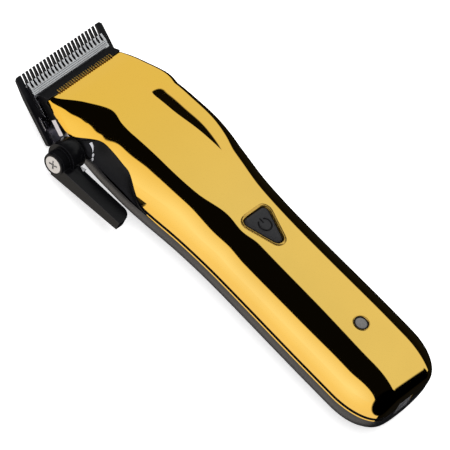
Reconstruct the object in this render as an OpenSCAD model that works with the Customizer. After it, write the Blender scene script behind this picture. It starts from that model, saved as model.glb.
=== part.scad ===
// Cordless hair clipper with a taper lever, lying on its back shell.
// +X points to the cutting head, +Y to the taper lever, +Z up through the power button.
// The origin is on the flat of the underside, halfway along the body.

/* [Body] */
// Overall length, from the comb teeth to the tail
body_l = 180; // [170:1:190]
// Thickness at the thumb rest
body_h = 30.8; // [30:0.1:32]
// Largest half width, across the head
head_hw = 23.4; // [23:0.1:24]
// Half width of the grip
grip_hw = 20.3; // [20:0.1:21]
// Wall of both shells
wall = 1.8; // [1.4:0.1:2]
// Height of the joint between the shells
part_z = 14.4; // [14:0.1:15]

/* [Blade set] */
// Width of the stationary blade
blade_w = 46; // [44:0.5:46]
// Length of the stationary blade, tooth tip to heel
blade_l = 28; // [27:0.5:28]
// Slope of the blade below the body's axis
blade_tilt = 30; // [28:1:30]
// Number of fine teeth between the two wide end teeth
teeth = 21; // [15:1:21]
// How far the moving teeth sit behind the stationary tips
tooth_setback = 3.8; // [3.5:0.1:4.5]
// Travel of the stationary blade over the lever's whole swing
taper_travel = 1.5; // [1:0.1:1.5]

/* [Taper lever] */
// Swing of the lever, in degrees
lever_swing = 38; // [30:1:40]
// Radius of the lever's hub
hub_r = 6.1; // [6:0.1:6.5]
// Length of the lever's arm, from its pivot
arm_l = 32.5; // [28:0.5:34]

/* [Drive] */
// Radius of the motor can
motor_r = 11.5; // [10:0.1:11.5]
// Throw of the crank pin
crank_e = 0.45; // [0.3:0.05:0.45]
// Radius of the battery cell
cell_r = 9.2; // [8:0.1:9.2]
// Length of the battery cell
cell_l = 65; // [60:1:65]

/* [Button and socket] */
// Length of the power button
button_l = 14.4; // [12:0.1:15]
// Width of the power button
button_w = 11.8; // [10:0.1:12]
// Radius of the indicator lens
lens_r = 2.3; // [2:0.1:2.5]
// Radius of the charging socket's bore
socket_r = 1.8; // [1.5:0.1:2]

/* [Hidden] */
$fn = 48;

// Colours
gold = [0.86, 0.66, 0.26];
black = [0.06, 0.06, 0.07];
grey = [0.26, 0.26, 0.28];
steel = [0.75, 0.75, 0.78];
brass = [0.78, 0.62, 0.30];
green = [0.05, 0.30, 0.14];

// Reference lines
tip_x = body_l / 2;
tail_x = -body_l / 2;
tip_z = 16;
tail_round = 18;
lower_front_a = 28;
lower_lean = 0.927;
eps = 0.05;

// ---- Outline of the shells: each value at a distance back from the tooth tips ----

// A smooth curve through [position, value] pairs, level at both ends
function seg(t, q, i = 0) = (i >= len(t) - 2 || q < t[i + 1][0]) ? i : seg(t, q, i + 1);
function rise(t, i) = (t[i + 1][1] - t[i][1]) / (t[i + 1][0] - t[i][0]);
function slope(t, i) = (i <= 0 || i >= len(t) - 1) ? 0
    : rise(t, i - 1) * rise(t, i) <= 0 ? 0 : (rise(t, i - 1) + rise(t, i)) / 2;
function hermite(t, i, h, u) = t[i][1] * (1 + 2 * u) * pow(1 - u, 2)
    + t[i + 1][1] * u * u * (3 - 2 * u)
    + h * u * (1 - u) * (slope(t, i) * (1 - u) - slope(t, i + 1) * u);
function curve(t, q) = let (i = seg(t, q), h = t[i + 1][0] - t[i][0],
    u = min(1, max(0, (q - t[i][0]) / h))) hermite(t, i, h, u);

// Height lost over an elliptical corner of length l and height h, s past its start
function corner(s, l, h) = s <= 0 ? 0 : h * (1 - sqrt(max(0, 1 - pow(min(s, l) / l, 2))));

// Tables of [distance back, value]: half width, height, and the shape of the upper section
WIDTHS = [[8, head_hw - 6], [14, head_hw - 4.4], [22, head_hw - 2.2], [32, head_hw - 0.7],
    [45, head_hw], [58, head_hw - 0.1], [70, grip_hw + 2.1], [84, grip_hw + 0.6], [104, grip_hw - 0.2],
    [150, grip_hw + 0.2], [162, grip_hw + 0.2]];
TOPS = [[8, 14], [14, 17.4], [20, 21], [30, 25.5], [40, 28.5], [50, 30], [65, body_h],
    [90, body_h - 0.3], [112, body_h - 0.6], [150, body_h - 0.4], [164, body_h - 0.6]];
CROWNS = [[14, 17], [24, 12], [33, 8.5], [46, 12.4], [62, 12.6], [78, 11.2], [93, 8.2],
    [125, 7.6], [160, 8]];
SIDES = [[14, 15.6], [30, 16], [60, 16.4], [84, 17.6]];
POWERS = [[14, 2.4], [58, 2.6], [88, 2.05]];

function half_w(a) = curve(WIDTHS, a) - corner(a - (body_l - tail_round), tail_round, 9.5);
function top_z(a) = curve(TOPS, a) - corner(a - (body_l - 15), 15, 8);
function bottom_z(a) = corner(a - (body_l - 12), 12, 7);
function fade(a) = max(0, (74 - a) / (74 - lower_front_a));
function flat_hw(a) = max(1, half_w(a) - 16.1);

// Points of an upper section inset by w, from the left joint over the top to the right one
function upper_half(a, w) = let (hw = half_w(a) - w, zt = top_z(a) - w,
    cw = min(curve(CROWNS, a), hw - 2.5), zs = min(curve(SIDES, a), zt - 0.6),
    p = 2 / curve(POWERS, a)) concat([[hw, part_z]],
    [for (k = [0:6]) let (f = k * 14) [cw + (hw - cw) * pow(cos(f), p),
        zs + (zt - 0.3 - zs) * pow(sin(f), p)]],
    [[cw, zt - 0.3], [cw * 0.5, zt - 0.1]]);
function lower_half(a, w) = let (hw = half_w(a) - w, fw = max(0.5, flat_hw(a) - w / 2),
    zb = bottom_z(a) + w) concat(
    [for (k = [0:8]) [fw + (hw - fw) * cos(k * 11.25), part_z - (part_z - zb) * sin(k * 11.25)]],
    [[fw * 0.5, zb]]);
function mirrored(h, mid_z) = concat(h, [[0, mid_z]],
    [for (i = [len(h) - 1:-1:0]) [-h[i][0], h[i][1]]]);
function upper_section(a, w) = mirrored(upper_half(a, w), top_z(a) - w);
function lower_section(a, w) = mirrored(lower_half(a, w), bottom_z(a) + w);

// A shell open at its front and along the joint, from n sections outside and n inside.
// Its front end leans back by lean per unit of height, fading out along the head.
// Each window [i0, i1, j0, j1] leaves out a patch of both grids, walled round.
// The notch is cut in the tail's edge at the joint: [half width, height of its floor].
module shell(outs, ins, s_out, s_in, lean, windows, notch, flip) {
    m = len(s_out[0]);
    n = len(outs);
    base = n * m;
    cap = 2 * n * m;
    nw = notch[0];
    points = concat(
        [for (i = [0:n - 1]) for (q = s_out[i])
            [tip_x - outs[i] - lean * fade(outs[i]) * q[1], q[0], q[1]]],
        [for (i = [0:n - 1]) for (q = s_in[i])
            [tip_x - ins[i] - lean * fade(ins[i]) * q[1], q[0], q[1]]],
        [for (a = [outs[n - 1], ins[n - 1]]) each [[tip_x - a, nw, part_z], [tip_x - a, nw, notch[1]],
            [tip_x - a, -nw, notch[1]], [tip_x - a, -nw, part_z]]]);
    last_o = (n - 1) * m;
    last_i = base + last_o;
    kept = [for (i = [0:n - 2]) for (j = [0:m - 2])
        if (len([for (w = windows) if (i >= w[0] && i < w[1] && j >= w[2] && j < w[3]) 1]) == 0) [i, j]];
    faces = concat(
        [for (c = kept) let (k = c[0] * m + c[1]) each [[k, k + m, k + m + 1], [k, k + m + 1, k + 1]]],
        [for (c = kept) let (k = base + c[0] * m + c[1])
            each [[k, k + m + 1, k + m], [k, k + 1, k + m + 1]]],
        [for (j = [0:m - 2]) each quad(j, j + 1, base)],
        [for (w = windows) each concat(
            [for (j = [w[2]:w[3] - 1]) each quad(w[1] * m + j, w[1] * m + j + 1, base)],
            [for (j = [w[2]:w[3] - 1]) each quad(w[0] * m + j + 1, w[0] * m + j, base)],
            [for (i = [w[0]:w[1] - 1]) each quad(i * m + w[2], (i + 1) * m + w[2], base)],
            [for (i = [w[0]:w[1] - 1]) each quad((i + 1) * m + w[3], i * m + w[3], base)])],
        end_cap(last_o, cap, m),
        [for (f = end_cap(last_i, cap + 4, m)) [f[2], f[1], f[0]]],
        [for (k = [0:2]) each [[cap + k, cap + k + 4, cap + k + 5], [cap + k, cap + k + 5, cap + k + 1]]],
        [for (i = [0:n - 2]) each quad((i + 1) * m, i * m, base)],
        [for (i = [0:n - 2]) each quad(i * m + m - 1, (i + 1) * m + m - 1, base)],
        [[last_o, last_i, cap + 4], [last_o, cap + 4, cap]],
        [[last_i + m - 1, last_o + m - 1, cap + 3], [last_i + m - 1, cap + 3, cap + 7]]);
    polyhedron(points, flip ? [for (f = faces) [for (k = [len(f) - 1:-1:0]) f[k]]] : faces,
        convexity = 6);
}

// Two triangles from the outer edge a-b to the inner edge, whose points follow by base
function quad(a, b, base) = [[a, b, a + base], [b, b + base, a + base]];

// The tail's face: fans from the notch's two floor corners to the m points after p
function end_cap(p, c, m) = let (mid = (m - 1) / 2) concat(
    [for (j = [0:m - 2]) [c + (j < mid ? 1 : 2), p + j + 1, p + j]],
    [[c + 1, p, c], [c + 2, c + 3, p + m - 1], [c + 1, c + 2, p + mid]]);

// Distances along the body at which the sections stand, and the same pulled in at the tail
function stations(first) = concat([for (k = [0:9]) first + k * (62 - first) / 9],
    [70, 80, 88, 94, 102, 112, 130, 147, 155, 162, 166, 172, 175.5, 177.5, 179.2, body_l]);
function pulled(a, first) = first + (a - first) * (body_l - wall - first) / (body_l - first);

// ---- Blade set's own frame: u runs back from the tips, w runs up through the blades ----

module at_blade(u, w) {
    translate([tip_x, 0, tip_z]) rotate([0, -blade_tilt, 0]) translate([-u, 0, w]) children();
}
// A plan drawn as [u, y], raised from w0 to w1
module blade_plate(w0, w1) {
    at_blade(0, w0) mirror([1, 0, 0]) linear_extrude(w1 - w0) children();
}
// A side outline drawn as [u, w], centred on y0 and ty thick
module blade_side(y0, ty) {
    at_blade(0, 0) translate([0, y0 + ty / 2, 0]) rotate([90, 0, 0]) mirror([1, 0])
        linear_extrude(ty) children();
}
// A side outline drawn as [distance back, height], centred on y0 and ty thick
module side_plate(y0, ty) {
    translate([tip_x, y0 + ty / 2, 0]) rotate([90, 0, 0]) mirror([1, 0]) linear_extrude(ty) children();
}
// A cylinder along Y between y0 and y1
module y_rod(x, z, r, y0, y1) {
    translate([x, y1, z]) rotate([90, 0, 0]) cylinder(h = y1 - y0, r = r);
}
// A cylinder along X between distances a0 and a1
module x_rod(y, z, r, a0, a1) {
    translate([tip_x - a1, y, z]) rotate([0, 90, 0]) cylinder(h = a1 - a0, r = r);
}

fixed_w = [-1.3, 0.3];
cutter_w = [0.32, 2.1];
cutter_hw = 20;
cutter_l = 13.7;
end_tooth = 3;
tooth_pitch = (blade_w - 2 * end_tooth) / (teeth + 0.5);
tooth_gap = tooth_pitch * 0.53;
blade_screw_u = 23;
blade_screw_y = 14.3;

lever_x = tip_x - 33;
lever_z = 11;
shaft_r = 2.6;
lever_u = 33 * cos(blade_tilt) - (lever_z - tip_z) * sin(blade_tilt);
lever_w = 33 * sin(blade_tilt) + (lever_z - tip_z) * cos(blade_tilt);
cam_pin_r = 1.1;
cam_e = taper_travel / (2 * sin(lever_swing / 2));
cam_pin_u = lever_u - cam_e * sin(lever_swing / 2);
cam_pin_w = lever_w - cam_e * cos(lever_swing / 2);
hub_y = [23.4, 29.6, 33];
collar_r = hub_r - 1.6;

axis_z = 15;
yoke_a = 40;
crank_a = [47.2, 50.6];
finger_a = 17;
finger_r = 1.2;
roller_r = 2;
fork_hw = roller_r + 2 * crank_e + 0.15;
motor_a = [55, 85];
motor_shaft_r = 1;

button_a = 102.6;
button_top = body_h - 0.1;
lens_a = 151;
board_z = [22.5, 23.7];
cell_a = 100;
rail_y = [10, 11.5];
bulkhead_a = [94.4, 99];
rear_wall_a = [165.6, 167.2];
socket_z = part_z;
// Windows in the shells, as station numbers: for the button, the lens and the two screws
button_cells = [13, 15];
lens_cells = [17, 18];
screw_cells = [[13, 14], [20, 21]];
screw_spots = [97, 169];
socket_hw = 3.4;

// Outline of the button: a triangle with round corners, flat side to the head, grown by g
module button_outline(g) {
    r = 2 + g;
    bx = button_l / 2 - 2;
    by = button_w / 2 - 2;
    n = [-by, 2 * bx] / norm([2 * bx, by]);
    polygon([[bx + r, -by], [bx + r, by], [bx + r * n[0], by + r * n[1]],
        [-bx + r * n[0], r * n[1]], [-bx + r * n[0], -r * n[1]], [bx + r * n[0], -by - r * n[1]]]);
    for (c = [[bx, by], [bx, -by], [-bx, 0]]) translate(c) circle(r);
}

module upper_housing() {
    outs = stations(14);
    ins = [for (a = outs) pulled(a, 14)];
    mid = len(upper_half(60, 0));
    color(gold) shell(outs, ins, [for (a = outs) upper_section(a, 0)],
        [for (a = ins) upper_section(a, wall)], 0,
        [[button_cells[0], button_cells[1], mid - 2, mid + 2],
            [lens_cells[0], lens_cells[1], mid - 1, mid + 1]],
        [socket_hw + 0.1, part_z + socket_hw + 0.1], true);
}

module lower_housing() {
    outs = stations(lower_front_a);
    ins = [for (a = outs) pulled(a, lower_front_a)];
    mid = len(lower_half(60, 0));
    color(black) shell(outs, ins, [for (a = outs) lower_section(a, 0)],
        [for (a = ins) lower_section(a, wall)], lower_lean,
        [for (c = screw_cells) [c[0], c[1], mid - 2, mid + 2]],
        [socket_hw + 0.1, part_z - socket_hw - 0.1], false);
}

// Blade seat: nose strip, bulkhead behind the heel, side cheeks and the lever's bearing
module head_frame() {
    lift = 2.3;
    cheek_y = [20, 21.9];
    color(grey) difference() {
        union() {
            side_plate(0, 38.6) polygon([[9.2, 14.1], [13.7, 17.1], [13.7, part_z - 0.2],
                [20, part_z - 0.2], [20, 7.7]]);
            side_plate(0, 30) polygon([[13, 14], [14.6, 15.2], [20, 18.2], [30, 22.6], [36, 22.6],
                [36, 13], [20, 13]]);
            blade_side(0, 29.2) polygon([[29.8, 0.2], [31, 0.2], [31, 18], [29.8, 18]]);
            for (s = [-1, 1]) {
                side_plate(s * (cheek_y[0] + cheek_y[1]) / 2, cheek_y[1] - cheek_y[0])
                    polygon([[31.2, 7], [34.2, 7], [40.8, part_z - 0.2], [35.6, part_z - 0.2]]);
                side_plate(s * 20.2, 0.4)
                    polygon([[33, 15.6], [35.6, 15.6], [35.6, 14], [40.6, 14], [40.6, 17.4], [33, 17.4]]);
                side_plate(s * 17.2, 6.4) polygon([[33, 15.6], [36, 15.6], [36, 17.4], [33, 17.4]]);
            }
            y_rod(lever_x, lever_z, 3.3, 19.8, 23.1);
            side_plate(20.95, 1.9) polygon([[33, 8], [37, 11], [37, 13], [33, 13]]);
        }
        y_rod(lever_x, lever_z, shaft_r + 0.06, 15, 30);
        // Room above the moving blade
        blade_side(0, 60) polygon([[-5, -10], [32, -10], [29.4, 0], [29.4, lift], [-5, lift]]);
        // Pocket for the cutter guide, its spring and the yoke
        side_plate(0, 33) polygon([[12.8, 8], [12.8, 13.6], [29, 13.6], [29, 8]]);
        side_plate(0, 26) polygon([[15, 9], [15, 14.6], [17, 16.6], [22, 18.2], [40, 18.2], [40, 12],
            [29, 12], [29, 9]]);
    }
}

// Plan of a comb of n teeth behind the line u0, as the gaps to remove
module tooth_gaps(n, pitch, width, u0, depth) {
    for (i = [0:n]) translate([u0, (i - n / 2) * pitch])
        polygon([[-2, -width / 2], [depth - width / 2, -width / 2], [depth, -width / 5],
            [depth, width / 5], [depth - width / 2, width / 2], [-2, width / 2]]);
}

module stationary_blade() {
    color(black) difference() {
        intersection() {
            blade_side(0, blade_w + 2) polygon([[0, -0.35], [0, fixed_w[1]], [blade_l, fixed_w[1]],
                [blade_l, fixed_w[0]], [8, fixed_w[0]]]);
            blade_plate(-3, 3) difference() {
                polygon([[0.1, -blade_w / 2 + 0.9], [0.1, blade_w / 2 - 0.9], [1, blade_w / 2],
                    [blade_l - 1, blade_w / 2], [blade_l - 0.1, blade_w / 2 - 0.9],
                    [blade_l - 0.1, -blade_w / 2 + 0.9], [blade_l - 1, -blade_w / 2],
                    [1, -blade_w / 2]]);
                tooth_gaps(teeth, tooth_pitch, tooth_gap, 0.1, 6);
            }
        }
        for (s = [-1, 1]) at_blade(blade_screw_u, -3) translate([0, s * blade_screw_y, 0]) {
            cylinder(h = 6, r = 1.8);
            cylinder(h = 2.8, r = 3.1);
        }
    }
}

// Sliding carrier: plate under the heel, arm to the cam and the rail beside the head
module blade_bracket() {
    top = fixed_w[1] + 1.3;
    arm_y = [15.9, 17.2];
    color(steel) difference() {
        union() {
            blade_plate(fixed_w[1], top) translate([18.6, -21]) square([blade_l - 18.6, 42]);
            blade_plate(fixed_w[1], top) translate([16.6, 21.2]) square([5.4, 0.8]);
            blade_plate(fixed_w[1], top) translate([20, 20]) square([2, 2]);
            blade_side((arm_y[0] + arm_y[1]) / 2, arm_y[1] - arm_y[0])
                polygon([[23.5, fixed_w[1]], [28, fixed_w[1]], [28, 6.2], [34, 10.2], [34, 14.5],
                    [28.4, 14.5], [28.4, 9.2], [23.5, 8.8]]);
            blade_side(18.5, 6) polygon([[23.5, 7.2], [25, 7.2], [25, 8.7], [23.5, 8.7]]);
            blade_side(20.8, 1.4) polygon([[18.8, 6.6], [25.2, 6.6], [25.2, 8.8], [18.8, 8.8]]);
        }
        // Open slot for the cam pin
        blade_side(16.5, 4) polygon([[cam_pin_u - cam_pin_r - 0.07, cam_pin_w - cam_pin_r - 0.3],
            [cam_pin_u + cam_pin_r + 0.07, cam_pin_w - cam_pin_r - 0.3],
            [cam_pin_u + cam_pin_r + 0.07, 20], [cam_pin_u - cam_pin_r - 0.07, 20]]);
        for (s = [-1, 1]) at_blade(blade_screw_u, -3) translate([0, s * blade_screw_y, 0])
            cylinder(h = 8, r = 1.75);
    }
}

module blade_screws() {
    color(steel) for (s = [-1, 1]) at_blade(blade_screw_u, fixed_w[0] + 0.1)
        translate([0, s * blade_screw_y, 0]) difference() {
            union() {
                cylinder(h = 0.95, r = 3);
                cylinder(h = 3.1, r = 1.7);
            }
            translate([-2.4, -0.35, -0.5]) cube([4.8, 0.7, 0.9]);
        }
}

module moving_blade() {
    color(steel) difference() {
        blade_plate(cutter_w[0], cutter_w[1]) difference() {
            translate([tooth_setback, -cutter_hw]) square([cutter_l, 2 * cutter_hw]);
            tooth_gaps(teeth - 1, tooth_pitch, tooth_gap, tooth_setback, 2.6);
        }
        // Bevel over the teeth and two grooves along the blade
        blade_side(0, 60) polygon([[tooth_setback - 1, cutter_w[1] - 1.1],
            [tooth_setback + 2.8, cutter_w[1] + 0.05], [tooth_setback - 1, cutter_w[1] + 1]]);
        for (u = [7.6, 9]) blade_side(0, 60) polygon([[u, cutter_w[1] + 0.1], [u, cutter_w[1] - 0.25],
            [u + 0.35, cutter_w[1] - 0.25], [u + 0.35, cutter_w[1] + 0.1]]);
        for (s = [-1, 1]) at_blade(15.4, 0) translate([0, s * 8, 0]) cylinder(h = 5, r = 1.3);
    }
}

// Plastic shoe on the moving blade, slotted for the yoke's finger
module cutter_guide() {
    base = cutter_w[1];
    color(grey) difference() {
        union() {
            blade_plate(base, base + 1.5) translate([13.9, -14]) square([6.7, 28]);
            blade_plate(base, base + 2.9) translate([15.2, -4]) square([5.4, 8]);
            for (s = [-1, 1]) at_blade(15.4, base - 1.4) translate([0, s * 8, 0])
                cylinder(h = 2, r = 1.25);
        }
        translate([tip_x - finger_a - 4, -finger_r - 0.06, 9.3]) cube([8, 2 * finger_r + 0.12, 12]);
    }
}

// Bent wire that presses the cutter guide down
module cutter_spring() {
    r = 0.6;
    foot = [14.6, 4.4];
    knee = [29.3, 7.2];
    run = [knee[0] - foot[0], knee[1] - foot[1]];
    color(steel) {
        for (s = [-1, 1]) at_blade(foot[0], foot[1]) translate([0, s * 10, 0])
            rotate([0, -90 + atan2(run[1], run[0]), 0]) cylinder(h = norm(run), r = r - 0.1);
        at_blade(knee[0], knee[1]) translate([0, 11.5, 0]) rotate([90, 0, 0]) cylinder(h = 23, r = r);
    }
}

module taper_lever() {
    arm_y = [26.2, hub_y[2]];
    end_x = lever_x - arm_l;
    color(black) difference() {
        union() {
            y_rod(lever_x, lever_z, hub_r, hub_y[0], hub_y[1]);
            y_rod(lever_x, lever_z, collar_r, hub_y[1], hub_y[2]);
            y_rod(lever_x, lever_z, shaft_r, 19.7, hub_y[0] + 1);
            // Paddle: its side outline cut to a plan with a round inner corner
            intersection() {
                translate([0, arm_y[1], 0]) rotate([90, 0, 0]) linear_extrude(arm_y[1] - arm_y[0])
                    polygon([[lever_x - 0.5, lever_z - hub_r + 0.02], [end_x, 9.7], [end_x, 13.5],
                        [lever_x - 5.6, 11.4], [lever_x, lever_z]]);
                linear_extrude(30) {
                    translate([end_x, arm_y[0] + 4]) square([arm_l, arm_y[1] - arm_y[0] - 4]);
                    translate([end_x + 4, arm_y[0]]) square([arm_l - 4, 6]);
                    translate([end_x + 4, arm_y[0] + 4]) circle(4);
                }
            }
        }
        y_rod(lever_x, lever_z, 1.45, 24, 40);
    }
}

// Disc on the inner end of the lever's shaft, with the pin that drives the bracket
module lever_cam() {
    color(steel) {
        y_rod(lever_x, lever_z, 3.5, 17.35, 18.4);
        y_rod(lever_x, lever_z, 2, 18.4, 19.7);
        at_blade(cam_pin_u, cam_pin_w) translate([0, 17.7, 0]) rotate([90, 0, 0])
            cylinder(h = 2.1, r = cam_pin_r);
    }
}

module lever_ring() {
    color(black) difference() {
        y_rod(lever_x, lever_z, collar_r - 0.15, hub_y[2], hub_y[2] + 1);
        y_rod(lever_x, lever_z, collar_r - 1, hub_y[2] - 1, hub_y[2] + 2);
    }
}

module lever_screw() {
    color(steel) difference() {
        union() {
            y_rod(lever_x, lever_z, collar_r - 1.1, hub_y[2], hub_y[2] + 0.9);
            y_rod(lever_x, lever_z, 1.4, 24.4, hub_y[2]);
        }
        for (q = [0, 90]) translate([lever_x, hub_y[2] + 0.4, lever_z]) rotate([0, q + 20, 0])
            translate([-1.9, 0, -0.35]) cube([3.8, 2, 0.7]);
    }
}

module lever_washer() {
    color(steel) difference() {
        y_rod(lever_x, lever_z, 4.6, 23.1, 23.35);
        y_rod(lever_x, lever_z, 2.8, 22, 25);
    }
}

// Rocker between the crank and the cutter guide
module drive_yoke() {
    z0 = 13.2;
    z1 = 15.8;
    color(grey) difference() {
        union() {
            translate([tip_x - yoke_a, 0, 12.4]) cylinder(h = 4.4, r = 4);
            translate([tip_x - yoke_a, -2, z0]) cube([yoke_a - finger_a, 4, z1 - z0]);
            translate([tip_x - finger_a, 0, 10]) cylinder(h = 5, r = finger_r);
            for (s = [-1, 1]) translate([tip_x - crank_a[1] + 0.4, s * (fork_hw + 1) - 1, 12.2])
                cube([crank_a[1] - yoke_a - 3, 2, 5.6]);
            translate([tip_x - yoke_a - 6.4, -fork_hw - 2, z0]) cube([3, 2 * fork_hw + 4, z1 - z0]);
        }
        translate([tip_x - yoke_a, 0, 0]) cylinder(h = 30, r = 1.55);
        translate([tip_x - finger_a + finger_r * 0.9, -3, z0 - 1]) cube([4, 6, 6]);
    }
}

module yoke_pin() {
    color(steel) translate([tip_x - yoke_a, 0, 3.4]) cylinder(h = 14.4, r = 1.5);
}

module motor_can() {
    color(steel) difference() {
        x_rod(0, axis_z, motor_r, motor_a[0], motor_a[1]);
        x_rod(0, axis_z, motor_r - 0.8, motor_a[0] + 1, motor_a[1] + 1);
        x_rod(0, axis_z, 2.55, motor_a[0] - 1, motor_a[0] + 3);
        for (s = [-1, 1]) x_rod(s * 7.5, axis_z, 1.15, motor_a[0] - 1, motor_a[0] + 3);
    }
}

module motor_end_cap() {
    color(grey) difference() {
        union() {
            x_rod(0, axis_z, motor_r, motor_a[1], motor_a[1] + 2);
            x_rod(0, axis_z, 4, motor_a[1] + 2, motor_a[1] + 4);
        }
        x_rod(0, axis_z, motor_shaft_r + 0.04, motor_a[1] - 1, motor_a[1] + 3);
    }
}

module motor_bushing() {
    color(brass) difference() {
        union() {
            x_rod(0, axis_z, 3.4, motor_a[0] - 1.4, motor_a[0]);
            x_rod(0, axis_z, 2.5, motor_a[0], motor_a[0] + 2.4);
        }
        x_rod(0, axis_z, motor_shaft_r + 0.04, motor_a[0] - 3, motor_a[0] + 4);
    }
}

module motor_rotor() {
    color(brass) difference() {
        x_rod(0, axis_z, motor_r - 1.7, motor_a[0] + 5, motor_a[1] - 4);
        x_rod(0, axis_z, motor_shaft_r, motor_a[0], motor_a[1]);
    }
}

module motor_shaft() {
    color(steel) x_rod(0, axis_z, motor_shaft_r, crank_a[1] + 0.4, motor_a[1] + 2.6);
}

module crank_disc() {
    color(brass) {
        difference() {
            x_rod(0, axis_z, 3.6, crank_a[1], crank_a[1] + 2.6);
            x_rod(0, axis_z, motor_shaft_r, crank_a[1] + 0.4, crank_a[1] + 4);
        }
        x_rod(0, axis_z + crank_e, 1.2, crank_a[0], crank_a[1] + 0.1);
    }
}

module crank_roller() {
    color(steel) difference() {
        x_rod(0, axis_z + crank_e, roller_r, crank_a[0] + 0.4, crank_a[1] - 0.4);
        x_rod(0, axis_z + crank_e, 1.25, crank_a[0] - 1, crank_a[1] + 1);
    }
}

module motor_mount() {
    color(grey) difference() {
        union() {
    x_rod(0, axis_z, 11.6, motor_a[0] - 1.6, motor_a[0]);
            translate([tip_x - motor_a[0], -9, 3.35]) cube([1.6, 18, 8]);
        }
        x_rod(0, axis_z, 3.6, motor_a[0] - 4, motor_a[0] + 1);
        for (s = [-1, 1]) x_rod(s * 7.5, axis_z, 1.15, motor_a[0] - 4, motor_a[0] + 1);
    }
}

module motor_screws() {
    color(steel) for (s = [-1, 1]) {
        x_rod(s * 7.5, axis_z, 2, motor_a[0] - 2.7, motor_a[0] - 1.6);
        x_rod(s * 7.5, axis_z, 1.1, motor_a[0] - 1.6, motor_a[0] + 2.5);
    }
}

module motor_leads() {
    color("firebrick") for (s = [-1, 1]) translate([tip_x - 93.7, s * 5, 23.1]) rotate([0, 118, 0])
        cylinder(h = 7, r = 0.6, $fn = 24);
}

module battery_cell() {
    color("royalblue") x_rod(0, 12.1, cell_r, cell_a, cell_a + cell_l);
}

module battery_tabs() {
    color(steel) for (a = [cell_a - 0.35, cell_a + cell_l + 0.05])
        translate([tip_x - a - 0.3, -3, 12.1]) cube([0.3, 6, 10]);
}

module circuit_board() {
    color(green) translate([tip_x - 160, -rail_y[1], board_z[0]])
        cube([66, 2 * rail_y[1], board_z[1] - board_z[0]]);
}

module tact_switch() {
    color(steel) {
        translate([tip_x - button_a - 3, -3, board_z[1]]) cube([6, 6, 2.3]);
        translate([tip_x - button_a, 0, board_z[1] + 2.3]) cylinder(h = 0.4, r = 1.5);
    }
}

module indicator_led() {
    color("white") {
        translate([tip_x - lens_a, 0, board_z[1]]) cylinder(h = 2, r = 1.5);
        translate([tip_x - lens_a, 0, board_z[1] + 2]) sphere(1.5);
    }
}

module indicator_lens() {
    color([0.6, 0.6, 0.63]) {
        translate([tip_x - lens_a, 0, body_h - 3.1]) cylinder(h = 2.75, r = lens_r);
        translate([tip_x - lens_a, 0, body_h - 3.5]) cylinder(h = 0.7, r = lens_r + 0.9);
    }
}

module power_button() {
    flange_z = body_h - 3.8;
    color([0.2, 0.21, 0.23]) translate([tip_x - button_a, 0, 0]) {
        translate([0, 0, flange_z]) linear_extrude(1.1) button_outline(0.9);
        translate([0, 0, flange_z]) linear_extrude(button_top - 0.4 - flange_z) button_outline(0);
        translate([0, 0, flange_z]) linear_extrude(button_top - flange_z) button_outline(-0.5);
    }
}

// Round socket at the tail, blind, for a plain charging plug
module charge_socket() {
    color(black) difference() {
        union() {
            translate([tail_x + 2, -5, socket_z - 4.5]) cube([9.6, 10, 9]);
            translate([tail_x + 0.1, -socket_hw, socket_z - socket_hw])
                cube([3, 2 * socket_hw, 2 * socket_hw]);
        }
        x_rod(0, socket_z, socket_r, body_l - 9, body_l + 1);
    }
}

module housing_screws() {
    color(steel) for (a = screw_spots) translate([tip_x - a, 0, 0.8]) difference() {
        union() {
            cylinder(h = 1.6, r = 2.3);
            cylinder(h = 8, r = 1.3);
        }
        for (q = [0, 90]) rotate(q) translate([-1.5, -0.35, -1]) cube([3, 0.7, 1.7]);
    }
}

// Floor plate with the yoke's post, a bulkhead between motor and cell, and rails under the board
module inner_frame() {
    floor_z = [1.9, 3.3];
    color(grey) difference() {
        union() {
            translate([tip_x - bulkhead_a[1], -5, floor_z[0]])
                cube([bulkhead_a[1] - yoke_a + 4, 10, floor_z[1] - floor_z[0]]);
            translate([tip_x - yoke_a, 0, floor_z[0]]) cylinder(h = 9.9, r = 3.6);
            for (w = [bulkhead_a, rear_wall_a]) translate([tip_x - w[1], 0, 0]) rotate([90, 0, 90])
                linear_extrude(w[1] - w[0]) polygon([[-5, floor_z[0]], [5, floor_z[0]], [rail_y[1], 6],
                    [rail_y[1], board_z[0]], [-rail_y[1], board_z[0]], [-rail_y[1], 6]]);
            for (s = [-1, 1])
                translate([tip_x - rear_wall_a[1], s * (rail_y[0] + rail_y[1]) / 2 - 0.75, 6])
                    cube([rear_wall_a[1] - bulkhead_a[0], 1.5, board_z[0] - 6]);
            for (a = screw_spots) translate([tip_x - a, 0, 0.3]) cylinder(h = 2.4, r = 2.9);
            translate([tip_x - screw_spots[1], 0, 2]) cylinder(h = 7.2, r = 2.9);
        }
        translate([tip_x - yoke_a, 0, 3.4]) cylinder(h = 20, r = 1.5);
        for (a = screw_spots) translate([tip_x - a, 0, -1]) {
            cylinder(h = 12, r = 1.35);
            cylinder(h = 3.5, r = 2.4);
        }
    }
}

module button_bezel() {
    color(gold) difference() {
        translate([tip_x - 111.9, -7.35, body_h - 2.4]) cube([17.8, 14.7, 2.1]);
        translate([tip_x - button_a, 0, body_h - 4]) linear_extrude(6) button_outline(0.2);
    }
}

module lens_bezel() {
    color(gold) difference() {
        translate([tip_x - 154.9, -3.8, body_h - 2.35]) cube([7.8, 7.6, 1.95]);
        translate([tip_x - lens_a, 0, body_h - 5]) cylinder(h = 8, r = lens_r + eps);
    }
}

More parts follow.
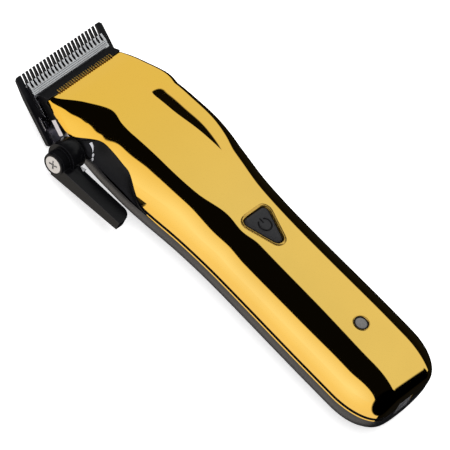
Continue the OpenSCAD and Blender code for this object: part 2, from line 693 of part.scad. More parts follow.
upper_housing();
lower_housing();
head_frame();
stationary_blade();
blade_bracket();
blade_screws();
moving_blade();
cutter_guide();
cutter_spring();
taper_lever();
lever_cam();
lever_ring();
lever_screw();
lever_washer();
drive_yoke();
yoke_pin();
motor_can();
motor_end_cap();
motor_bushing();
motor_rotor();
motor_shaft();
crank_disc();
crank_roller();
motor_mount();
motor_screws();
motor_leads();
battery_cell();
battery_tabs();
circuit_board();
tact_switch();
indicator_led();
indicator_lens();
power_button();
charge_socket();
housing_screws();
inner_frame();
button_bezel();
lens_bezel();
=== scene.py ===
"""Looks for the hair clipper: skins, materials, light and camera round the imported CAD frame."""
import math

import bmesh
import bpy
from mathutils import Matrix, Vector


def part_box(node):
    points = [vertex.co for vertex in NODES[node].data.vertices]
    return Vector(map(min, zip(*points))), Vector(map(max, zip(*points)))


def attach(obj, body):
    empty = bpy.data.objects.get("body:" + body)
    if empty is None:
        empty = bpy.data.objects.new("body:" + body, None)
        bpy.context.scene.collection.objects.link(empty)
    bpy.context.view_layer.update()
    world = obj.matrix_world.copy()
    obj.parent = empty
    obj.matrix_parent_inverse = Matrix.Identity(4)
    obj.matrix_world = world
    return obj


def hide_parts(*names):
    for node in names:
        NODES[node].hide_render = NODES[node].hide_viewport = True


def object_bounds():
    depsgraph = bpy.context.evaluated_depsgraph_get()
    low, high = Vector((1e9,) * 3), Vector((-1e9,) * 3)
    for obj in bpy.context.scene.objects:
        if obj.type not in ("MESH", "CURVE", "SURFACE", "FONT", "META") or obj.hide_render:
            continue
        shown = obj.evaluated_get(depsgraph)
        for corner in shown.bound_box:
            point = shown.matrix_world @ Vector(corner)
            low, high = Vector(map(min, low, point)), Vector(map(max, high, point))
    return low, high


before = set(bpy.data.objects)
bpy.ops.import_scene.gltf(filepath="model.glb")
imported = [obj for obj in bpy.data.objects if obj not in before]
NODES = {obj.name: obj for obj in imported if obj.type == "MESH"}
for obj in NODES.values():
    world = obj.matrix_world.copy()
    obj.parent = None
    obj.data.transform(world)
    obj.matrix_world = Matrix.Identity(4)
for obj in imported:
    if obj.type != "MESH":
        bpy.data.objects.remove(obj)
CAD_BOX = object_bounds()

MM = 0.001

# ---------------------------------------------------------------- shell curves, in mm
# a is the distance back from the tooth tips, as in the CAD source
LENGTH = 180.0
HALF = LENGTH / 2
JOINT_Z = 14.4
THICK = 1.8
HEAD_HW, GRIP_HW, BODY_H = 23.4, 20.3, 30.8
FRONT = 14.0
LOWER_FRONT = 28.0
LOWER_LEAN = 0.927
WIDTHS = [(8, HEAD_HW - 6), (14, HEAD_HW - 4.4), (22, HEAD_HW - 2.2), (32, HEAD_HW - 0.7), (45, HEAD_HW),
          (58, HEAD_HW - 0.1), (70, GRIP_HW + 2.1), (84, GRIP_HW + 0.6), (104, GRIP_HW - 0.2),
          (150, GRIP_HW + 0.2), (162, GRIP_HW + 0.2)]
TOPS = [(8, 14), (14, 17.4), (20, 21), (30, 25.5), (40, 28.5), (50, 30), (65, BODY_H),
        (90, BODY_H - 0.3), (112, BODY_H - 0.6), (150, BODY_H - 0.4), (164, BODY_H - 0.6)]
SIDES = [(14, 15.6), (30, 16), (60, 16.4), (84, 17.6)]
# Shape of the shoulder where it meets the side wall: larger stays full for longer
POWERS = {1: [(14, 2.03), (22, 1.3), (30, 1.0), (38, 1.0), (46, 1.8), (58, 1.9),
              (78, 1.85), (93, 2.05), (160, 1.95)],
          -1: [(14, 1.8), (40, 2.2), (58, 2.3), (88, 2.0)]}
# How sharply the shoulder turns down at its start on either side: smaller is sharper
STARTS = {1: [(14, 1.68), (22, 2.01), (30, 2.36), (38, 2.0), (46, 1.3), (58, 1.19),
              (78, 1.75), (93, 1.75), (125, 1.9), (160, 1.95)],
          -1: [(14, 4.5), (60, 3.6), (88, 1.9)]}
# Where the crown ends on the lever's side and on the other side, and the ramp beside it
CREASES = {1: [(14, 17), (24, 12), (33, 8.2), (40, 11.6), (46, 12.6), (62, 12.6), (78, 11.2), (91, 7.9),
               (98, 8.6), (106, 6.9), (137, 7.0), (160, 7.6)],
           -1: [(14, 17), (24, 10), (33, 7.4), (46, 7.4), (60, 8.9), (78, 9.6), (93, 8.2), (125, 7.6),
                (160, 8)]}
RAMP_DROP = {1: [(14, 0), (80, 0)],
             -1: [(14, 0), (24, 0.1), (35.3, 0.85), (38.7, 2.15), (55, 1.5), (66, 0.5), (73, 0)]}
RAMP_WIDTH = {1: [(14, 0.3), (80, 0.3)],
              -1: [(14, 0.6), (24, 6), (34, 10.2), (39, 9.6), (55, 7.4), (66, 3.4), (73, 0.5)]}
# Lower edge of the plated skin on the lever's side, over the finger scallop, and on the other side
EDGES = {1: [(14, 14.6), (27, 14.7), (41, 23.0), (53, 23.4), (68, 16.4), (80, 16.4)],
         -1: [(14, 14.6), (27, 14.7), (34, 16.4), (80, 16.4)]}
CROWN_DROP = 0.15
# How far before the tail's end each outline starts to turn in, and how much it loses there
TAIL_SIDE, TAIL_TOP, TAIL_BOTTOM = (18, 9.5), (15, 8), (12, 7)
# The finger scallop's height on the side wall where it starts and where it is fully cut
SCALLOP_FROM, SCALLOP_FULL = 17.0, 22.0
# The stretch of the side wall that is dark plastic
DARK_FROM, DARK_TO = 27.0, 68.5


def curve(table, q):
    """A smooth value at q through (position, value) pairs, level at both ends."""
    if q <= table[0][0]:
        return table[0][1]
    if q >= table[-1][0]:
        return table[-1][1]
    i = max(k for k in range(len(table) - 1) if table[k][0] <= q)
    rise = [(b[1] - a[1]) / (b[0] - a[0]) for a, b in zip(table, table[1:])]

    def slope(k):
        if k <= 0 or k >= len(table) - 1 or rise[k - 1] * rise[k] <= 0:
            return 0.0
        return (rise[k - 1] + rise[k]) / 2

    h = table[i + 1][0] - table[i][0]
    u = (q - table[i][0]) / h
    return (table[i][1] * (1 + 2 * u) * (1 - u) ** 2 + table[i + 1][1] * u * u * (3 - 2 * u)
            + h * u * (1 - u) * (slope(i) * (1 - u) - slope(i + 1) * u))


def corner(a, tail):
    """What an outline loses over its elliptical corner at the tail, a back from the tooth tips."""
    length, height = tail
    s = a - (LENGTH - length)
    return 0.0 if s <= 0 else height * (1 - math.sqrt(max(0.0, 1 - (min(s, length) / length) ** 2)))


def half_w(a):
    return curve(WIDTHS, a) - corner(a, TAIL_SIDE)


def top_z(a):
    return curve(TOPS, a) - corner(a, TAIL_TOP)


def bottom_z(a):
    return corner(a, TAIL_BOTTOM)


def flat_hw(a):
    return max(1.0, half_w(a) - 16.1)


def crease(a, side):
    return min(curve(CREASES[side], a), half_w(a) - 2.2)


def crown_z(a, y):
    c = crease(a, 1 if y > 0 else -1)
    return top_z(a) - CROWN_DROP * (y / c) ** 2


def shoulder(a, side):
    """Start, width, foot, height and two powers of the shoulder beside the crown."""
    c = crease(a, side) + curve(RAMP_WIDTH[side], a)
    hw = half_w(a)
    foot = min(curve(SIDES, a), top_z(a) - 1.2)
    high = top_z(a) - CROWN_DROP - curve(RAMP_DROP[side], a) - foot
    return min(c, hw - 1.6), hw, foot, high, curve(POWERS[side], a), curve(STARTS[side], a)


def wall_y(a, z, side):
    """Half width of the upper shell at height z."""
    c, hw, foot, high, p, q = shoulder(a, side)
    if z <= foot:
        return hw
    return c + (hw - c) * max(0.0, 1 - min(1.0, (z - foot) / high) ** p) ** (1 / q)


def edge_z(a, side):
    return min(curve(EDGES[side], a), top_z(a) - 1.6)


def scallop(a, side):
    """How fully the finger scallop is cut at a, from 0 to 1."""
    if side < 0:
        return 0.0
    return max(0.0, min(1.0, (edge_z(a, side) - SCALLOP_FROM) / (SCALLOP_FULL - SCALLOP_FROM)))


# Faces across each strip of the upper section, from the joint up to the middle of the crown
PANEL, GROOVE, SKIN, RAMP, CROWN = 10, 3, 30, 9, 20


def panel_point(a, t, side):
    """A point of the strip between the joint and the groove: the lip, or the finger scallop."""
    s = scallop(a, side)
    gap = min(1.45 - 0.85 * s, 0.7 * (edge_z(a, side) - JOINT_Z))
    z = JOINT_Z + t * (edge_z(a, side) - gap - JOINT_Z)
    return wall_y(a, z, side) - s * (0.7 + 1.0 * math.sin(math.pi * t)), z


def side_points(a, side):
    """Half widths and heights of the upper section, from the joint up to the crease."""
    pts = [panel_point(a, k / PANEL, side) for k in range(PANEL + 1)]
    top = edge_z(a, side)
    depth = min(0.55, 0.5 * (top - JOINT_Z)) + 0.6 * scallop(a, side)
    low = pts[-1][1]
    pts.append((wall_y(a, low, side) - depth - 0.5 * scallop(a, side), low + 0.02))
    pts.append((wall_y(a, top, side) - depth, top - 0.02))
    c, hw, foot, high, p, q = shoulder(a, side)
    start = math.asin(max(0.0, min(1.0, (top - foot) / high)) ** (p / 2)) if top > foot else 0.0
    if top < foot:
        pts.append((hw, top))
    for k in range(SKIN + (0 if top < foot else 1)):
        f = start + (math.pi / 2 - start) * k / SKIN if top >= foot else (math.pi / 2) * (k + 1) / SKIN
        pts.append((c + (hw - c) * max(0.0, math.cos(f)) ** (2 / q), foot + high * math.sin(f) ** (2 / p)))
    c0, drop = crease(a, side), curve(RAMP_DROP[side], a)
    for k in range(RAMP - 1, -1, -1):
        t = k / RAMP
        pts.append((c0 + (c - c0) * t, top_z(a) - CROWN_DROP - drop * math.sin(math.pi / 2 * t)))
    return pts


def upper_section(a):
    left, right = side_points(a, 1), side_points(a, -1)
    cl, cr = crease(a, 1), crease(a, -1)
    crown = []
    for k in range(1, CROWN):
        f = math.pi * k / CROWN
        y = cl + (-cr - cl) * (0.5 - 0.5 * math.cos(f) * (1 - 0.25 * math.sin(f)))
        crown.append((y, crown_z(a, y)))
    return left + crown + [(-y, z) for y, z in reversed(right)]


def lower_section(a):
    hw, fw, zb = half_w(a), flat_hw(a), bottom_z(a)
    side = [(fw + (hw - fw) * math.cos(f), JOINT_Z - (JOINT_Z - zb) * math.sin(f))
            for f in [k * math.pi / 48 for k in range(25)]]
    flat = [(fw * (1 - k / 8), zb) for k in range(1, 16)]
    return side + flat + [(-y, z) for y, z in reversed(side)]


def stations(first, step=1.0):
    """Distances back, evenly along the body and closer round the tail."""
    turn = TAIL_SIDE[0]
    n = int((LENGTH - turn - first) / step)
    out = [first + (LENGTH - turn - first) * k / n for k in range(n + 1)]
    return out + [LENGTH - turn + turn * math.sin(math.pi / 2 * k / 24) for k in range(1, 25)]


# ---------------------------------------------------------------- mesh helpers

def point(a, y, z):
    """The place in the frame, in metres, of a point a mm back from the tooth tips."""
    return ((HALF - a) * MM, y * MM, z * MM)


def finish_mesh(name, bm, mats, body, smooth=math.radians(60)):
    """Makes an object of bm, shades it smooth up to an angle, and puts it on a body."""
    bm.normal_update()
    mesh = bpy.data.meshes.new(name)
    bm.to_mesh(mesh)
    bm.free()
    obj = bpy.data.objects.new(name, mesh)
    bpy.context.scene.collection.objects.link(obj)
    for m in mats:
        mesh.materials.append(m)
    for p in mesh.polygons:
        p.use_smooth = True
    mesh.set_sharp_from_angle(angle=smooth)
    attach(obj, body)
    return obj


def grid(bm, rows, skip=None, material=None):
    """Faces between rows of vertices; skip and material look at the row and column."""
    for i in range(len(rows) - 1):
        for j in range(len(rows[i]) - 1):
            if skip and skip(i, j):
                continue
            f = bm.faces.new((rows[i][j], rows[i][j + 1], rows[i + 1][j + 1], rows[i + 1][j]))
            if material:
                f.material_index = material(i, j)


def bridge(bm, low, high, closed=True, index=0):
    """A strip of faces between two rows, or rings, of vertices."""
    n = len(low)
    for k in range(n if closed else n - 1):
        f = bm.faces.new((low[k], low[(k + 1) % n], high[(k + 1) % n], high[k]))
        f.material_index = index


def revolve(bm, profile, place, n=72):
    """Turns (radius, height) pairs about the local z of place."""
    rings = [[bm.verts.new(place @ Vector((r * MM * math.cos(2 * math.pi * k / n),
                                           r * MM * math.sin(2 * math.pi * k / n), h * MM)))
              for k in range(n)] for r, h in profile]
    for low, high in zip(rings, rings[1:]):
        bridge(bm, low, high)


def tube(bm, pts, r, n=12):
    """A round rod through points, with domed ends."""
    pts = [Vector(p) for p in pts]
    rings = []
    up = Vector((0, 0, 1))
    for k, p in enumerate(pts):
        t = (pts[min(k + 1, len(pts) - 1)] - pts[max(k - 1, 0)]).normalized()
        s = t.cross(up).normalized()
        w = s.cross(t)
        rings.append([bm.verts.new(p + r * (math.cos(f) * s + math.sin(f) * w))
                      for f in [2 * math.pi * q / n for q in range(n)]])
    for low, high in zip(rings, rings[1:]):
        bridge(bm, low, high)
    for ring, p, d in ((rings[0], pts[0], pts[0] - pts[1]), (rings[-1], pts[-1], pts[-1] - pts[-2])):
        tip = bm.verts.new(p + d.normalized() * r * 0.8)
        for q in range(n):
            bm.faces.new((ring[q], ring[(q + 1) % n], tip))


def window_loop(rows, i0, i1, j0, j1):
    """The border of a patch left out of a grid, in order round it."""
    return ([rows[i0][j] for j in range(j0, j1)] + [rows[i][j1] for i in range(i0, i1)]
            + [rows[i1][j] for j in range(j1, j0, -1)] + [rows[i][j0] for i in range(i1, i0, -1)])


def inset(bm, loop, centre, radius, rings, height, index=0):
    """Fills a window with rings round centre: radius(angle, grow), and a step up from the skin.

    The first two rings keep the skin's material, so the rim's own starts at a clean line.
    """
    def angle(v):
        return math.atan2(v.co.y / MM - centre[1], v.co.x / MM - centre[0])

    last = loop
    for k, (grow, rise) in enumerate(rings):
        ring = []
        for v in loop:
            f = angle(v)
            x = centre[0] + radius(f, grow) * math.cos(f)
            y = centre[1] + radius(f, grow) * math.sin(f)
            ring.append(bm.verts.new((x * MM, y * MM, (height(HALF - x, y) + rise) * MM)))
        bridge(bm, last, ring, index=index if k > 1 else 0)
        last = ring


def nearest(values, q):
    """Index of the value closest to q."""
    return min(range(len(values)), key=lambda k: abs(values[k] - q))


# ---------------------------------------------------------------- materials

def material(name, base, rough, metallic=0.0, tint=0.12, scale=60.0, rough_var=0.08, bump=0.05,
             bump_scale=900.0, stretch=(1, 1, 1), wear=None, coat=0.0, specular=0.5):
    """A moulded, plated or ground surface: uneven tone and gloss, fine relief and rubbed edges."""
    mat = bpy.data.materials.new(name)
    mat.use_nodes = True
    nt = mat.node_tree
    bsdf = nt.nodes["Principled BSDF"]
    new, link = nt.nodes.new, nt.links.new
    bsdf.inputs["Metallic"].default_value = metallic
    bsdf.inputs["Specular IOR Level"].default_value = specular
    bsdf.inputs["Coat Weight"].default_value = coat
    bsdf.inputs["Coat Roughness"].default_value = 0.1
    coords = new("ShaderNodeTexCoord")
    mapping = new("ShaderNodeMapping")
    mapping.inputs["Scale"].default_value = stretch
    link(coords.outputs["Object"], mapping.inputs["Vector"])

    def noise(s, detail):
        n = new("ShaderNodeTexNoise")
        n.inputs["Scale"].default_value = s
        n.inputs["Detail"].default_value = detail
        link(mapping.outputs["Vector"], n.inputs["Vector"])
        return n.outputs["Fac"]

    broad, fine = noise(scale, 4), noise(bump_scale, 3)
    ramp = new("ShaderNodeValToRGB")
    ramp.color_ramp.elements[0].position, ramp.color_ramp.elements[1].position = 0.3, 0.7
    ramp.color_ramp.elements[0].color = [c * (1 - tint) for c in base] + [1]
    ramp.color_ramp.elements[1].color = [min(1.0, c * (1 + tint)) for c in base] + [1]
    link(broad, ramp.inputs["Fac"])
    colour = ramp.outputs["Color"]
    spread = new("ShaderNodeMapRange")
    spread.inputs["To Min"].default_value = max(0.01, rough - rough_var)
    spread.inputs["To Max"].default_value = rough + rough_var
    link(broad, spread.inputs["Value"])
    gloss = spread.outputs["Result"]
    if wear:
        geo, edge, dot = new("ShaderNodeNewGeometry"), new("ShaderNodeBevel"), new("ShaderNodeVectorMath")
        edge.samples = 4
        edge.inputs["Radius"].default_value = 0.00035
        dot.operation = "DOT_PRODUCT"
        link(geo.outputs["Normal"], dot.inputs[0])
        link(edge.outputs["Normal"], dot.inputs[1])
        rub = new("ShaderNodeMapRange")
        rub.inputs["From Min"].default_value, rub.inputs["From Max"].default_value = 0.985, 0.86
        rub.inputs["To Max"].default_value = 0.7
        link(dot.outputs["Value"], rub.inputs["Value"])
        mix = new("ShaderNodeMix")
        mix.data_type = "RGBA"
        link(rub.outputs["Result"], mix.inputs["Factor"])
        link(colour, mix.inputs["A"])
        mix.inputs["B"].default_value = (*wear, 1)
        colour = mix.outputs["Result"]
    link(colour, bsdf.inputs["Base Color"])
    link(gloss, bsdf.inputs["Roughness"])
    if bump:
        b = new("ShaderNodeBump")
        b.inputs["Strength"].default_value = bump
        b.inputs["Distance"].default_value = 0.0002
        link(fine, b.inputs["Height"])
        link(b.outputs["Normal"], bsdf.inputs["Normal"])
    return mat


GOLD = material("gold_plate", (0.80, 0.52, 0.115), 0.055, 1.0, tint=0.03, scale=35, rough_var=0.02,
                bump=0.012, bump_scale=260)
RIM_GOLD = material("gold_rim", (0.80, 0.50, 0.11), 0.30, 1.0, tint=0.03, scale=35, rough_var=0.03,
                    bump=0.02)
SATIN = material("black_satin", (0.012, 0.012, 0.014), 0.38, tint=0.1, rough_var=0.05, bump=0.10,
                 bump_scale=2200, wear=(0.12, 0.12, 0.13), specular=0.4)
# Near-black for the dark plastic, the marks and the rims, and painted shade: the groove under the plated
# edge of the top skin is painted with it
BLACK_AND_GROOVE_SHADE = material("black_and_groove_shade", (0.005, 0.005, 0.0055), 0.40, tint=0.15, bump=0.05, specular=0.15)
GREY = material("head_black", (0.003, 0.003, 0.0035), 0.34, tint=0.1, bump=0.12, bump_scale=2600,
                wear=(0.05, 0.05, 0.055), specular=0.05)
BLADE_BLACK = material("blade_black", (0.004, 0.004, 0.005), 0.30, tint=0.2, stretch=(1, 12, 1),
                       scale=90, bump=0.06, wear=(0.06, 0.06, 0.065), specular=0.12)
GROUND = material("ground_steel", (0.62, 0.62, 0.64), 0.26, 1.0, tint=0.08, stretch=(1, 0.06, 1), scale=700,
                  rough_var=0.10, bump=0.14, bump_scale=2400, wear=(0.85, 0.85, 0.86))
BRACKET = material("bracket_metal", (0.60, 0.60, 0.67), 0.30, 1.0, tint=0.06, bump=0.05,
                   wear=(0.85, 0.85, 0.88))
GLOSS = material("lever_black", (0.003, 0.003, 0.0035), 0.22, tint=0.15, rough_var=0.06, bump=0.03,
                 wear=(0.03, 0.03, 0.034), specular=0.14)
CHROME = material("chrome", (0.56, 0.56, 0.58), 0.16, 1.0, tint=0.04, rough_var=0.04, bump=0.02)
RUBBER = material("rubber_grey", (0.018, 0.018, 0.0195), 0.50, tint=0.1, bump=0.22, bump_scale=3000,
                  wear=(0.05, 0.052, 0.056), specular=0.35)
LENS = material("lens_grey", (0.15, 0.145, 0.14), 0.45, tint=0.1, bump=0.05, coat=0.1, specular=0.2)
MARK = material("mark_silver", (0.62, 0.62, 0.63), 0.35, 0.4, tint=0.06, bump=0.04)
FRAME_PLASTIC = material("frame_plastic", (0.085, 0.085, 0.092), 0.50, bump=0.15, bump_scale=2500,
                         wear=(0.18, 0.18, 0.19))
WHITE = material("white_plastic", (0.68, 0.67, 0.62), 0.40, tint=0.04, bump=0.10, wear=(0.8, 0.79, 0.76))
SPRING = material("spring_steel", (0.50, 0.50, 0.52), 0.25, 1.0, stretch=(0.1, 1, 1), bump=0.1)
CAN = material("can_zinc", (0.55, 0.56, 0.58), 0.32, 1.0, scale=140, tint=0.14, bump=0.05)
BRASS = material("brass", (0.72, 0.52, 0.22), 0.24, 1.0, bump=0.05, wear=(0.9, 0.75, 0.45))
COPPER = material("windings", (0.45, 0.20, 0.09), 0.42, 0.8, scale=300, stretch=(0.1, 1, 1), tint=0.3,
                  bump=0.3)
LEAD = material("lead_red", (0.45, 0.03, 0.025), 0.45, bump=0.08)
WRAP = material("cell_wrap", (0.04, 0.11, 0.36), 0.25, tint=0.1, bump=0.05, coat=0.4)
BOARD = material("board_green", (0.02, 0.17, 0.07), 0.35, scale=400, tint=0.25, bump=0.08, coat=0.3)



def paint_shade_along(mat, start, end, shade_colour):
    """Paints shade: turns a material's colour gradually into a deeper, darker one between two distances
    along the body.
    """
    tree = mat.node_tree
    bsdf = tree.nodes["Principled BSDF"]
    source = bsdf.inputs["Base Color"].links[0].from_socket
    place, part = tree.nodes.new("ShaderNodeTexCoord"), tree.nodes.new("ShaderNodeSeparateXYZ")
    along, mix = tree.nodes.new("ShaderNodeMapRange"), tree.nodes.new("ShaderNodeMix")
    along.inputs["From Min"].default_value, along.inputs["From Max"].default_value = start, end
    mix.data_type = "RGBA"
    mix.inputs["B"].default_value = (*shade_colour, 1)
    tree.links.new(place.outputs["Object"], part.inputs[0])
    tree.links.new(part.outputs["X"], along.inputs["Value"])
    tree.links.new(along.outputs["Result"], mix.inputs["Factor"])
    tree.links.new(source, mix.inputs["A"])
    tree.links.new(mix.outputs["Result"], bsdf.inputs["Base Color"])


# Painted shade: the plating is painted a deeper, darker gold towards the head
paint_shade_along(GOLD, 0.0, 0.075, (0.80, 0.475, 0.058))

# The material of each CAD node that stays in view or inside
FINISHES = {
    "head_frame": GREY, "stationary_blade": BLADE_BLACK, "blade_bracket": BRACKET, "blade_screws": CHROME,
    "moving_blade": GROUND, "cutter_guide": WHITE, "cutter_spring": SPRING, "taper_lever": GLOSS,
    "lever_cam": GROUND, "lever_ring": GLOSS, "lever_screw": CHROME, "lever_washer": GROUND,
    "drive_yoke": WHITE, "yoke_pin": GROUND, "motor_can": CAN, "motor_end_cap": FRAME_PLASTIC,
    "motor_bushing": BRASS, "motor_rotor": COPPER, "motor_shaft": GROUND, "crank_disc": BRASS,
    "crank_roller": GROUND, "motor_mount": FRAME_PLASTIC, "motor_screws": GROUND, "motor_leads": LEAD,
    "battery_cell": WRAP, "battery_tabs": CAN, "circuit_board": BOARD, "tact_switch": CAN,
    "indicator_led": LENS, "charge_socket": FRAME_PLASTIC, "housing_screws": CHROME,
    "inner_frame": FRAME_PLASTIC}
# Width of the rounded edges, in mm
BEVELS = {
    "head_frame": 0.35, "stationary_blade": 0.09, "blade_bracket": 0.15, "moving_blade": 0.08,
    "taper_lever": 0.9, "lever_ring": 0.3, "lever_screw": 0.2, "charge_socket": 0.3,
    "blade_screws": 0.15, "housing_screws": 0.15}
for name, mat in FINISHES.items():
    node = NODES[name]
    node.data.materials.clear()
    node.data.materials.append(mat)
    if name in BEVELS:
        weld = node.modifiers.new("weld", "WELD")
        weld.merge_threshold = 1e-6
        bevel = node.modifiers.new("bevel", "BEVEL")
        bevel.width, bevel.segments = BEVELS[name] * MM, 3
        bevel.limit_method, bevel.angle_limit = "ANGLE", math.radians(28)
        bevel.harden_normals = True

# ---------------------------------------------------------------- outlines seen from above, in mm

BUTTON_X = -12.6
BUTTON_L, BUTTON_W, BUTTON_TOP = 14.4, 11.8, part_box("power_button")[1][2] / MM
BEZEL = 1.5
LENS_X = -61.0
LENS_R = 2.3


def button_polygon(grow):
    """The button's outline: a triangle with round corners, flat side to the head."""
    bx, by, r = BUTTON_L / 2 - 2, BUTTON_W / 2 - 2, 2 + grow
    turn = math.atan2(2 * bx, -by)
    pts = []
    for (cx, cy), f0, f1 in (((bx, by), 0, turn), ((-bx, 0), turn, 2 * math.pi - turn),
                             ((bx, -by), 2 * math.pi - turn, 2 * math.pi)):
        pts += [(cx + r * math.cos(f0 + (f1 - f0) * k / 24), cy + r * math.sin(f0 + (f1 - f0) * k / 24))
                for k in range(25)]
    return pts


def button_radius(f, grow):
    """Distance from the button's centre to its outline, in the direction f."""
    pts = button_polygon(grow)
    d = (math.cos(f), math.sin(f))
    best = 0.0
    for (x0, y0), (x1, y1) in zip(pts, pts[1:] + pts[:1]):
        ex, ey = x1 - x0, y1 - y0
        det = d[0] * -ey + d[1] * ex
        if abs(det) > 1e-12:
            t = (x0 * -ey + y0 * ex) / det
            u = (d[0] * y0 - d[1] * x0) / det
            if t > 0 and -1e-9 <= u <= 1 + 1e-9:
                best = max(best, t)
    return best


# ---------------------------------------------------------------- plated top skin

SOCKET_HW, SOCKET_TOP, SOCKET_BOTTOM, TAIL_WALL = 3.55, 17.9, 10.9, 2


def tail_cap(bm, row, notch):
    """Closes the tail round the charging socket's notch, which runs from the joint to the height notch."""
    n = len(row) - 1
    w, h = SOCKET_HW, abs(notch - JOINT_Z)
    path = 2 * h + 2 * w
    ring, inner = [], []
    for k in range(n + 1):
        s = path * k / n
        y, z = ((w, JOINT_Z + (notch - JOINT_Z) * s / h) if s < h else
                (w - (s - h), notch) if s < h + 2 * w else
                (-w, notch - (notch - JOINT_Z) * (s - h - 2 * w) / h))
        ring.append(bm.verts.new(point(LENGTH, y, z)))
        inner.append(bm.verts.new(point(LENGTH - TAIL_WALL, y, z)))
    bridge(bm, row, ring, closed=False)
    bridge(bm, ring, inner, closed=False)


def build_top():
    bm = bmesh.new()
    dist = stations(FRONT)
    sections = [upper_section(a) for a in dist]
    rows = [[bm.verts.new(point(a, y, z)) for y, z in s] for a, s in zip(dist, sections)]
    m = len(rows[0])
    mid = m // 2

    def window(x, half_length, half_width):
        """First and last row and column of a patch of the crown round x."""
        i = nearest(dist, HALF - x)
        inside = [j for j, (y, z) in enumerate(sections[i]) if abs(y) < half_width and z > BODY_H - 2]
        return (nearest(dist, HALF - x - half_length), nearest(dist, HALF - x + half_length),
                inside[0], inside[-1])

    button_window, lens_window = window(BUTTON_X, 10.0, 7.95), window(LENS_X, 4.5, 4.6)

    def skip(i, j):
        return any(w[0] <= i < w[1] and w[2] <= j < w[3] for w in (button_window, lens_window))

    def black_or_groove_shade(i, j):
        right = j > mid
        k = m - 2 - j if right else j
        # Painted shade: the groove's faces take the near-black material; the lever side's panel between
        # DARK_FROM and DARK_TO is dark plastic
        if PANEL <= k < PANEL + GROOVE:
            return 1
        return 1 if k < PANEL and not right and DARK_FROM < dist[i] < DARK_TO else 0

    grid(bm, rows, skip, black_or_groove_shade)
    # Front edge: rolled under to the wall's thickness
    last = rows[0]
    for step, back in ((0.45, -0.35), (1.0, -0.3), (THICK, 0.6), (THICK, 5.0)):
        a = FRONT + back
        k_y = 1 - step / half_w(FRONT)
        row = [bm.verts.new(point(a, y * k_y, max(JOINT_Z, z - step) if z > JOINT_Z + 0.05 else z))
               for y, z in sections[0]]
        bridge(bm, row, last, closed=False)
        last = row
    inset(bm, window_loop(rows, *button_window), (BUTTON_X, 0), button_radius,
          [(BEZEL + 0.15, 0), (BEZEL, 0), (BEZEL - 0.08, -0.05), (BEZEL - 0.2, -0.05), (BEZEL - 0.4, 0.16),
           (BEZEL - 0.65, 0.22), (0.5, 0.12), (0.3, -0.1), (0.2, -0.5), (0.2, -3.0)], crown_z, 2)
    inset(bm, window_loop(rows, *lens_window), (LENS_X, 0), lambda f, g: LENS_R + g,
          [(1.1, 0), (0.95, 0), (0.8, 0.06), (0.6, 0.08), (0.48, -0.05), (0.45, -1.8)], crown_z, 2)
    tail_cap(bm, rows[-1], SOCKET_TOP)
    bmesh.ops.recalc_face_normals(bm, faces=bm.faces)
    return finish_mesh("top_skin", bm, [GOLD, BLACK_AND_GROOVE_SHADE, RIM_GOLD], "housing",
                       math.radians(35))


top_skin = build_top()
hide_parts("upper_housing", "button_bezel", "lens_bezel")


SCREW_SPOTS, SCREW_HOLE_R = ((97.0, 4.0), (169.0, 3.4)), 2.45
LEAN_FROM = 74


def build_bottom():
    bm = bmesh.new()
    dist = stations(LOWER_FRONT, 1.3)

    def place(a, y, z):
        lean = LOWER_LEAN * max(0.0, (LEAN_FROM - a) / (LEAN_FROM - LOWER_FRONT))
        return point(a + lean * z, y, z)

    sections = [lower_section(a) for a in dist]
    rows = [[bm.verts.new(place(a, y, z)) for y, z in s] for a, s in zip(dist, sections)]
    m = len(rows[0])
    holes = []
    for spot, half in SCREW_SPOTS:
        i0, i1 = nearest(dist, spot - half), nearest(dist, spot + half)
        inside = [j for j in range(m) if abs(sections[i0][j][0]) < 3.6 and sections[i0][j][1] < 3]
        holes.append((spot, i0, i1, inside[0], inside[-1]))
    grid(bm, rows, lambda i, j: any(h[1] <= i < h[2] and h[3] <= j < h[4] for h in holes))
    for spot, i0, i1, j0, j1 in holes:
        inset(bm, window_loop(rows, i0, i1, j0, j1), (HALF - spot, 0), lambda f, g: SCREW_HOLE_R + g,
              [(0.3, 0), (0.15, 0.05), (0, 0.2), (0, 1.4)], lambda a, y: bottom_z(a))
    last = rows[0]
    for step, back in ((0.5, -0.3), (1.1, -0.2), (THICK, 0.8), (THICK, 5.0)):
        k_y = 1 - step / half_w(LOWER_FRONT)
        row = [bm.verts.new(place(LOWER_FRONT + back, y * k_y, min(JOINT_Z, z + step * (1 - z / JOINT_Z))))
               for y, z in sections[0]]
        bridge(bm, row, last, closed=False)
        last = row
    tail_cap(bm, rows[-1], SOCKET_BOTTOM)
    bmesh.ops.recalc_face_normals(bm, faces=bm.faces)
    return finish_mesh("bottom_skin", bm, [SATIN], "housing", math.radians(35))


bottom_skin = build_bottom()
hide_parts("lower_housing")

# ---------------------------------------------------------------- ribs along the front edge

bm = bmesh.new()
for k in range(-12, 13):
    y = 1.16 * k
    tube(bm, [point(FRONT - 1.3, y - 0.2, 17.15), point(FRONT - 0.6, y - 0.1, 17.5),
              point(FRONT + 0.2, y, 17.8)], 0.26 * MM, 8)
finish_mesh("front_ribs", bm, [RIM_GOLD], "housing")

# ---------------------------------------------------------------- fine lines along the moving blade

# The blade's slope towards the tooth tips, and how far its face lies from the frame's origin across it
BLADE_AXIS, BLADE_NORMAL = Vector((0.866025, 0, 0.5)), Vector((-0.5, 0, 0.866025))
BLADE_FACE, BLADE_HW = -29.03, 19.4
bm = bmesh.new()
for along in (77.7, 78.45, 79.15):
    spot = (BLADE_AXIS * along + BLADE_NORMAL * BLADE_FACE) * MM
    tube(bm, [(spot.x, y * MM, spot.z) for y in (-BLADE_HW, 0, BLADE_HW)], 0.08 * MM, 8)
finish_mesh("blade_lines", bm, [BLACK_AND_GROOVE_SHADE], "cutter")

# ---------------------------------------------------------------- button, mark, lens and rims

